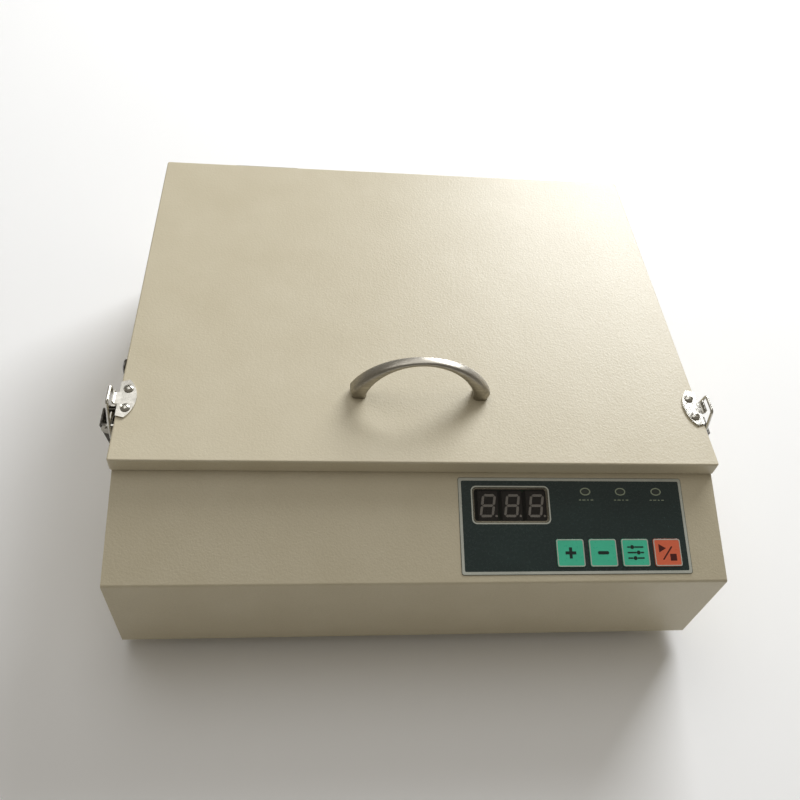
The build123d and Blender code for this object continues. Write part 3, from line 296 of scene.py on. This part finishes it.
def rubber(name, colour):
    """Matt rubber with a dusty bloom."""
    f = Finish(name, sheen=0.15)
    f.colour(f.between(f.noise(90.0), colour, [c * 1.5 for c in colour]))
    f.roughness(f.noise(220.0), 0.62, 0.85)
    f.bump(f.noise(1500.0, 2.0), 0.5, 0.00008)
    return f.material


def plated(name, colour, shade, low, high, scratch=0.25):
    """Plated metal: slight cloudiness, faint random scratches and pits."""
    f = Finish(name, metallic=1.0)
    cloud = f.noise(120.0, 4.0)
    f.colour(f.between(cloud, colour, shade))
    f.roughness(f.noise(380.0, 3.0), low, high)
    scratches = f.noise(60.0, 2.0, coords=f.stretched((8.0, 60.0, 8.0)))
    f.bump(scratches, scratch, 0.00004).bump(f.noise(700.0, 2.0), 0.12, 0.00005)
    return f.material


def brushed(name, colour, shade, low, high, scale):
    """Brushed metal with its grain along the axis that scale compresses."""
    f = Finish(name, metallic=1.0)
    grain = f.noise(1.0, 3.0, coords=f.stretched(scale))
    f.colour(f.between(grain, colour, shade))
    f.roughness(grain, low, high)
    f.bump(grain, 0.22, 0.00005)
    return f.material


def clear_glass(name, tint, alpha, rough=0.04):
    """Clear or smoked glass, shown by alpha so that what lies behind it reads."""
    f = Finish(name, coat=0.6, coat_roughness=0.03)
    f.colour(f.between(f.noise(14.0), tint, [c * 0.9 for c in tint]))
    f.roughness(f.noise(70.0), rough, rough + 0.04)
    f.set("Alpha", alpha)
    f.material.blend_method = "BLEND"
    return f.material


def circuit_board(name):
    """Green solder resist over branching copper tracks, with vias."""
    f = Finish(name, coat=0.4, coat_roughness=0.2)
    tracks = f.cells(150.0, "DISTANCE_TO_EDGE")
    line = f.spread(tracks, 1.0, 0.0, 0.02, 0.06)
    resist = f.between(f.noise(50.0), (0.04, 0.30, 0.13), (0.03, 0.23, 0.10))
    f.colour(f.mix(line, resist, srgb(0.12, 0.46, 0.22)))
    f.roughness(f.noise(300.0), 0.3, 0.45)
    f.bump(line, 0.4, 0.00006)
    return f.material


def printed_film(name, colour, shade, low=0.2, high=0.32):
    """Screen-printed polyester film with a fine, even texture."""
    f = Finish(name, coat=0.3, coat_roughness=0.25)
    f.colour(f.between(f.noise(60.0, 4.0), colour, shade))
    f.roughness(f.noise(500.0), low, high)
    f.bump(f.noise(2400.0, 2.0), 0.25, 0.00004)
    return f.material


def foam_skin(name):
    """Charcoal open-cell foam: two sizes of pores under a dull sheen, the pore centres darkened with painted
    shade.
    """
    f = Finish(name, sheen=0.35)
    pores = f.cells(620.0)
    fine = f.cells(1600.0)
    walls = f.spread(pores, 0.0, 1.0, 0.05, 0.6)
    # Pore centres go near black: painted shade inside the pores, over the foam's own charcoal colour.
    dark = f.mix(walls, srgb(0.035, 0.035, 0.038), srgb(0.17, 0.17, 0.18))
    f.colour(f.mix(f.spread(f.noise(18.0), 0.0, 0.35), dark, srgb(0.22, 0.22, 0.23)))
    f.roughness(fine, 0.85, 0.98)
    f.bump(pores, 0.8, 0.0005).bump(fine, 0.5, 0.0002)
    return f.material


def lamp_glass(name):
    """Unlit lamp tube: clear glass over pale phosphor with a faint violet tint."""
    f = Finish(name, coat=0.8, coat_roughness=0.05)
    f.colour(f.between(f.noise(35.0, 3.0), (0.78, 0.79, 0.86), (0.70, 0.71, 0.82)))
    f.roughness(f.noise(200.0), 0.12, 0.2)
    f.bump(f.noise(900.0), 0.1, 0.00003)
    return f.material


PAINT = powder_coat("case_paint", (0.800, 0.762, 0.662), (0.780, 0.740, 0.636))
BED_PAINT = powder_coat("bed_paint", (0.075, 0.075, 0.08), (0.06, 0.06, 0.065), 900.0)
NICKEL = plated("bright_nickel", (0.84, 0.83, 0.80), (0.72, 0.71, 0.68), 0.12, 0.26)
# Darker copy of the plated nickel, used for the latch levers and the side screw: painted shade and painted dark
# reflections on the plating.
SHADED_STEEL = plated("latch_steel", (0.42, 0.41, 0.39), (0.32, 0.31, 0.29), 0.20, 0.36, 0.4)
SATIN = brushed("satin_nickel", (0.70, 0.68, 0.64), (0.60, 0.58, 0.54), 0.30, 0.42,
                (60.0, 1600.0, 900.0))
ALUMINIUM = brushed("reflector_aluminium", (0.88, 0.88, 0.89), (0.78, 0.78, 0.80), 0.16, 0.30,
                    (12.0, 900.0, 900.0))
BRASS = plated("standoff_brass", (0.80, 0.66, 0.36), (0.70, 0.56, 0.28), 0.22, 0.36)
BLACK = plastic("black_plastic", (0.06, 0.06, 0.065), (0.045, 0.045, 0.05))
WHITE = plastic("white_plastic", (0.88, 0.88, 0.85), (0.82, 0.82, 0.79))
CAN = plastic("component_plastic", (0.10, 0.12, 0.30), (0.07, 0.09, 0.24), 0.25, 0.4)
FEET = rubber("foot_rubber", (0.05, 0.05, 0.052))
SLEEVE = rubber("wire_sleeve", (0.09, 0.09, 0.09))
GLASS = clear_glass("plate_glass", (0.80, 0.92, 0.87), 0.22)
WINDOW = clear_glass("smoked_window", (0.10, 0.095, 0.09), 0.30, 0.12)
FUSE_GLASS = clear_glass("fuse_glass", (0.85, 0.88, 0.88), 0.5)
LENS = plastic("lamp_lens", (0.20, 0.24, 0.22), (0.16, 0.19, 0.18), 0.15, 0.25, coat=0.5)
BOARD = circuit_board("board_green")
FILM = printed_film("overlay_film", (0.140, 0.205, 0.200), (0.122, 0.182, 0.180))
KEY_GREEN = printed_film("key_green", (0.290, 0.790, 0.640), (0.270, 0.760, 0.610), 0.25, 0.4)
KEY_RED = printed_film("key_red", (0.900, 0.440, 0.310), (0.870, 0.410, 0.285), 0.25, 0.4)
INK_PALE = printed_film("ink_pale", (0.76, 0.77, 0.73), (0.71, 0.72, 0.68), 0.3, 0.4)
INK_DIM = printed_film("ink_dim", (0.62, 0.66, 0.57), (0.57, 0.61, 0.52), 0.3, 0.4)
INK_DARK = printed_film("ink_dark", (0.06, 0.16, 0.14), (0.05, 0.13, 0.11), 0.3, 0.4)
INK_RUST = printed_film("ink_rust", (0.30, 0.07, 0.05), (0.26, 0.06, 0.04), 0.3, 0.4)
SEGMENT = printed_film("segment", (0.92, 0.89, 0.85), (0.87, 0.84, 0.80), 0.35, 0.5)
DIGIT_FACE = plastic("digit_face", (0.24, 0.22, 0.20), (0.21, 0.19, 0.175), 0.3, 0.45)
FOAM = foam_skin("pad_foam")
TUBE = lamp_glass("tube_glass")

FINISH_OF = {
    "case_paint": PAINT, "bed_paint": BED_PAINT, "bright_nickel": NICKEL,
    "latch_steel": SHADED_STEEL, "satin_nickel": SATIN, "rubber": FEET, "plate_glass": GLASS,
    "tube_glass": TUBE, "reflector_aluminium": ALUMINIUM, "pad_foam": FOAM,
    "white_plastic": WHITE, "board_green": BOARD, "brass": BRASS, "black_plastic": BLACK,
    "lamp_lens": LENS, "overlay_print": FILM, "smoked_window": WINDOW,
    "key_green": KEY_GREEN, "key_red": KEY_RED, "fuse_glass": FUSE_GLASS,
    "wire_sleeve": SLEEVE,
}
SLOT_OF = {s["node"]: s["material_slot"] for s in frame["record"]["subparts"]}
SPECIAL = {"digit_modules": DIGIT_FACE, "power_components": CAN}


def paint_cad():
    """Every carried-over CAD node gets its slot's procedural finish."""
    for name, obj in nodes.items():
        obj.data.materials.clear()
        obj.data.materials.append(SPECIAL.get(name) or FINISH_OF[SLOT_OF[name]])


# ---------------------------------------------------------------- mesh helpers
def new_piece(name, shape, material, body, smooth=False):
    """Turns a bmesh into a piece that rides on a body."""
    mesh = bpy.data.meshes.new(name)
    bmesh.ops.recalc_face_normals(shape, faces=shape.faces)
    shape.to_mesh(mesh)
    shape.free()
    if smooth:
        for face in mesh.polygons:
            face.use_smooth = True
    mesh.materials.append(material)
    obj = bpy.data.objects.new(name, mesh)
    scene.collection.objects.link(obj)
    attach(obj, body)
    return obj


def rounded(cx, cy, width, height, radius, steps=6):
    """Outline of a rounded rectangle, counter-clockwise."""
    points = []
    for sx, sy, start in ((1, 1, 0), (-1, 1, 90), (-1, -1, 180), (1, -1, 270)):
        for i in range(steps + 1):
            angle = radians(start + 90 * i / steps)
            points.append((cx + sx * (width / 2 - radius) + radius * cos(angle),
                           cy + sy * (height / 2 - radius) + radius * sin(angle)))
    return points


def oval(cx, cy, rx, ry, steps=28):
    return [(cx + rx * cos(2 * pi * i / steps), cy + ry * sin(2 * pi * i / steps))
            for i in range(steps)]


def slab(shape, outline, base, thick, place):
    """A flat printed shape: its outline raised from base by thick."""
    rings = [[shape.verts.new(place(x, y, h)) for x, y in outline] for h in (base, base + thick)]
    shape.faces.new(rings[1])
    shape.faces.new(rings[0][::-1])
    for i in range(len(outline)):
        j = (i + 1) % len(outline)
        shape.faces.new((rings[0][i], rings[0][j], rings[1][j], rings[1][i]))


def ring(shape, outer, inner, base, thick, place):
    """A printed outline: the band between two loops with the same count of points."""
    top = base + thick
    edges = ((outer, base), (outer, top), (inner, top), (inner, base))
    loops = [[shape.verts.new(place(x, y, h)) for x, y in loop] for loop, h in edges]
    for a, b in zip(loops, loops[1:] + loops[:1]):
        for i in range(len(outer)):
            j = (i + 1) % len(outer)
            shape.faces.new((a[i], a[j], b[j], b[i]))


# ---------------------------------------------------------------- console print
# Millimetres from the overlay's top left corner
INK = 0.06
WINDOW_AT = (8.9, 57.0, 6.2, 28.4)
LED_AT = [(81.6, 8.7), (104.6, 8.7), (128.2, 8.7)]
DASHES = (1.5, 2.2, 1.2, 1.8)
DASH_PITCH = 2.6
KEY_AT = {"plus": 68.5, "minus": 89.3, "set": 110.1, "start": 130.9}
KEY_DOWN = 47.2
KEY_W, KEY_H = 17.6, 17.0
KEY_TOP = 0.5
DIGITS_AT = (18.8, 34.2, 49.6)
DIGIT_DOWN = 17.4


def make_label_print():
    """Pale border and window outline, dim lamp rings with plain dashes as captions."""
    shape = bmesh.new()
    mid_x, mid_y = LABEL_W / 2, LABEL_H / 2
    ring(shape, rounded(mid_x, mid_y, LABEL_W - 0.5, LABEL_H - 0.5, 1.3),
         rounded(mid_x, mid_y, LABEL_W - 3.9, LABEL_H - 3.9, 1.0), 0, INK, on_label)
    left, right, top, bottom = WINDOW_AT
    cx, cy = (left + right) / 2, (top + bottom) / 2
    ring(shape, rounded(cx, cy, right - left + 1.9, bottom - top + 1.9, 3.2),
         rounded(cx, cy, right - left + 0.3, bottom - top + 0.3, 2.6), 0, INK, on_label)
    new_piece("label_border", shape, INK_PALE, "base")
    shape = bmesh.new()
    for x, down in LED_AT:
        ring(shape, oval(x, down, 3.4, 2.45), oval(x, down, 2.75, 1.85), 0, INK, on_label)
        for i, width in enumerate(DASHES):
            dash = rounded(x + DASH_PITCH * (i - 1.5), down + 5.4, width, 0.5, 0.2, 2)
            slab(shape, dash, 0, INK, on_label)
    new_piece("lamp_rings", shape, INK_DIM, "base")
    shape = bmesh.new()
    for x, down in LED_AT:
        slab(shape, oval(x, down, 2.44, 1.64), -0.26, 0.2, on_label)
    new_piece("lamp_windows", shape, LENS, "base")


def key_mark(name, outlines, ink):
    shape = bmesh.new()
    for outline in outlines:
        slab(shape, outline, KEY_TOP, INK, on_label)
    new_piece(f"mark_{name}", shape, ink, f"key_{name}")


def key_border(name):
    """Pale rim printed round the edge of a key."""
    shape = bmesh.new()
    x = KEY_AT[name]
    ring(shape, rounded(x, KEY_DOWN, KEY_W - 0.3, KEY_H - 0.3, 1.3),
         rounded(x, KEY_DOWN, KEY_W - 1.5, KEY_H - 1.5, 0.9), KEY_TOP, INK * 0.8, on_label)
    new_piece(f"rim_{name}", shape, INK_PALE, f"key_{name}")


def bar(cx, cy, length, width, angle=0.0):
    """A round-ended stroke."""
    turned = []
    for x, y in rounded(0, 0, length, width, width * 0.48, 4):
        turned.append((cx + x * cos(angle) - y * sin(angle), cy + x * sin(angle) + y * cos(angle)))
    return turned


def make_key_marks():
    """Plus, minus, three setting sliders, and a start triangle and stop square."""
    x = KEY_AT["plus"]
    arm, half = 3.4, 0.95
    quarter = [(half, -half), (arm, -half), (arm, half)]
    plus = []
    for turn in range(4):
        plus += [(x + px * cos(turn * pi / 2) - py * sin(turn * pi / 2),
                  KEY_DOWN + px * sin(turn * pi / 2) + py * cos(turn * pi / 2))
                 for px, py in quarter]
    key_mark("plus", [plus], INK_DARK)
    x = KEY_AT["minus"]
    key_mark("minus", [bar(x, KEY_DOWN, 7.2, 2.0)], INK_DARK)
    x = KEY_AT["set"]
    sliders = []
    for i, knob in enumerate((-2.0, 1.8, -0.6)):
        down = KEY_DOWN + 3.4 * (i - 1)
        sliders.append(bar(x + (knob - 5.4) / 2 - 0.6, down, knob + 4.0, 0.9))
        sliders.append(bar(x + (knob + 5.4) / 2 + 0.6, down, 4.0 - knob, 0.9))
        sliders.append(oval(x + knob, down, 1.25, 1.25, 16))
    key_mark("set", sliders, INK_DARK)
    x = KEY_AT["start"]
    triangle = [(x - 5.6, KEY_DOWN - 5.2), (x - 0.9, KEY_DOWN - 2.6), (x - 5.6, KEY_DOWN)]
    square = rounded(x + 3.4, KEY_DOWN + 3.0, 4.2, 4.2, 0.4, 3)
    slash = bar(x - 0.2, KEY_DOWN + 0.4, 10.5, 0.9, radians(-52))
    key_mark("start", [triangle, square, slash], INK_RUST)
    for name, slot in (("plus", "key_green"), ("minus", "key_green"),
                       ("set", "key_green"), ("start", "key_red")):
        key_border(name)


def digit_outlines(cx):
    """The seven segments of one slanted digit, as pointed bars, and its point."""
    half_w, half_h, thick, gap = 3.7, 6.5, 1.55, 0.22
    slant, dot_right, dot_r = 0.16, 5.1, 0.75

    def slanted(points):
        return [(cx + x - y * slant, DIGIT_DOWN + y) for x, y in points]

    def flat(y):
        a, b, t = -half_w + gap, half_w - gap, thick / 2
        return [(a, y), (a + t, y - t), (b - t, y - t), (b, y), (b - t, y + t), (a + t, y + t)]

    def upright(x, low, high):
        a, b, t = low + gap, high - gap, thick / 2
        return [(x, a), (x + t, a + t), (x + t, b - t), (x, b), (x - t, b - t), (x - t, a + t)]

    outlines = [slanted(flat(y)) for y in (-half_h, 0, half_h)]
    for x in (-half_w, half_w):
        outlines.append(slanted(upright(x, -half_h, 0)))
        outlines.append(slanted(upright(x, 0, half_h)))
    outlines.append(oval(cx + dot_right, DIGIT_DOWN + half_h, dot_r, dot_r, 14))
    return outlines


def make_digits():
    """Unlit segments on the three display modules, under the smoked window."""
    face = max(v.co.dot(CONSOLE_UP) for v in nodes["digit_modules"].data.vertices)
    height = (face - LABEL_CORNER.dot(CONSOLE_UP)) / MM
    shape = bmesh.new()
    for cx in DIGITS_AT:
        for outline in digit_outlines(cx):
            slab(shape, outline, height, INK, on_label)
    new_piece("digit_segments", shape, SEGMENT, "base")


# ---------------------------------------------------------------- handle
# Millimetres: how high the heel and toe of each foot stand, and the bar's own sizes
HEEL = 5.0
TOE = 3.0
FOOT_LENGTH = 11.0
BAR_THICK = 3.6
BAR_HALF_WIDTH = 3.2
SQUARENESS = 0.6
CREASE = radians(42)


def make_handle():
    """Bow handle: an oval bar between two arcs, slim in the middle, on widened feet."""
    mid_y = (HANDLE_LOW.y + HANDLE_HIGH.y) / 2
    half = (HANDLE_HIGH.x - HANDLE_LOW.x) / 2
    foot_w = (HANDLE_HIGH.y - HANDLE_LOW.y) / 2
    rise = HANDLE_HIGH.z - HANDLE_LOW.z
    outer_arc = (half, HEEL * MM, rise)
    inner_arc = (half - FOOT_LENGTH * MM, TOE * MM, rise - BAR_THICK * MM)

    def on_arc(arc, t):
        width, low, high = arc
        climb = high - low
        radius = (width * width + climb * climb) / (2 * climb)
        return Vector((width * t, mid_y,
                       HANDLE_LOW.z + high - radius + (radius * radius - (width * t) ** 2) ** 0.5))

    def section(inner, outer, side, steps=28):
        """Superellipse between two points; side is its half width along Y."""
        loop = []
        for i in range(steps):
            angle = 2 * pi * i / steps
            across = abs(cos(angle)) ** SQUARENESS * (1 if cos(angle) > 0 else -1)
            along = abs(sin(angle)) ** SQUARENESS * (1 if sin(angle) > 0 else -1)
            loop.append(inner.lerp(outer, 0.5 + 0.5 * along) + Vector((0, side * across, 0)))
        return loop

    stations = 48
    loops = []
    for i in range(stations + 1):
        t = -1 + 2 * i / stations
        side = BAR_HALF_WIDTH * MM + (foot_w - BAR_HALF_WIDTH * MM) * t * t
        loops.append(section(on_arc(inner_arc, t), on_arc(outer_arc, t), side))
    soles = []
    for t in (-1, 1):
        inner, outer = on_arc(inner_arc, t), on_arc(outer_arc, t)
        for lift, shrink in ((0.35, 1.0), (0.0, 0.985)):
            low_in = Vector((inner.x, mid_y, HANDLE_LOW.z + (inner.z - HANDLE_LOW.z) * lift))
            low_out = Vector((outer.x - t * MM * (1 - lift), mid_y,
                              HANDLE_LOW.z + (outer.z - HANDLE_LOW.z) * lift))
            soles.append(section(low_in, low_out, foot_w * shrink))
    loops = [soles[1], soles[0]] + loops + [soles[2], soles[3]]
    shape = bmesh.new()
    rings = [[shape.verts.new(p) for p in loop] for loop in loops]
    count = len(rings[0])
    for a, b in zip(rings, rings[1:]):
        for i in range(count):
            j = (i + 1) % count
            shape.faces.new((a[i], a[j], b[j], b[i]))
    shape.faces.new(rings[0])
    shape.faces.new(rings[-1])
    piece = new_piece("bow_handle", shape, SATIN, "lid", smooth=True)
    split = piece.modifiers.new("crisp_heels", "EDGE_SPLIT")
    split.split_angle = CREASE
    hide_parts("handle")


# ---------------------------------------------------------------- foam pad
# Millimetres: how far the pad's sides pull in, and how its lower edges are eased
PAD_PULL = 1.2
PAD_EASE = 1.1
PAD_EASE_WIDTH = 5.0


def make_pad():
    """Foam pressure pad: a die-cut slab with its sides a little hollow and its edges eased."""
    across, deep = 62, 46
    layers = 6
    low, high = PAD_LOW, PAD_HIGH
    shape = bmesh.new()
    grid = {}
    for i in range(across + 1):
        for j in range(deep + 1):
            for k in range(layers + 1):
                on_skin = i in (0, across) or j in (0, deep) or k in (0, layers)
                if not on_skin:
                    continue
                u, v, w = i / across, j / deep, k / layers
                pull = PAD_PULL * MM * sin(pi * w) * (0.7 + 0.3 * sin(9 * u + 5 * v))
                edge = min(u * (high.x - low.x), (1 - u) * (high.x - low.x),
                           v * (high.y - low.y), (1 - v) * (high.y - low.y))
                ease = max(0.0, 1 - edge / (PAD_EASE_WIDTH * MM)) ** 2 * PAD_EASE * MM
                x = low.x + u * (high.x - low.x)
                y = low.y + v * (high.y - low.y)
                z = low.z + w * (high.z - low.z)
                if i == 0:
                    x += pull
                if i == across:
                    x -= pull
                if j == 0:
                    y += pull
                if j == deep:
                    y -= pull
                if k == 0:
                    z += ease
                grid[i, j, k] = shape.verts.new((x, y, z))
    for i in range(across):
        for j in range(deep):
            for k in (0, layers):
                shape.faces.new((grid[i, j, k], grid[i + 1, j, k],
                                 grid[i + 1, j + 1, k], grid[i, j + 1, k]))
    for k in range(layers):
        for i in range(across):
            for j in (0, deep):
                shape.faces.new((grid[i, j, k], grid[i + 1, j, k],
                                 grid[i + 1, j, k + 1], grid[i, j, k + 1]))
        for j in range(deep):
            for i in (0, across):
                shape.faces.new((grid[i, j, k], grid[i, j + 1, k],
                                 grid[i, j + 1, k + 1], grid[i, j, k + 1]))
    pad = new_piece("pressure_pad", shape, FOAM, "lid", smooth=True)
    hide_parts("foam_pad")


make_camera()
make_floor()
make_lights()
paint_cad()
make_label_print()
make_key_marks()
make_digits()
make_handle()
make_pad()
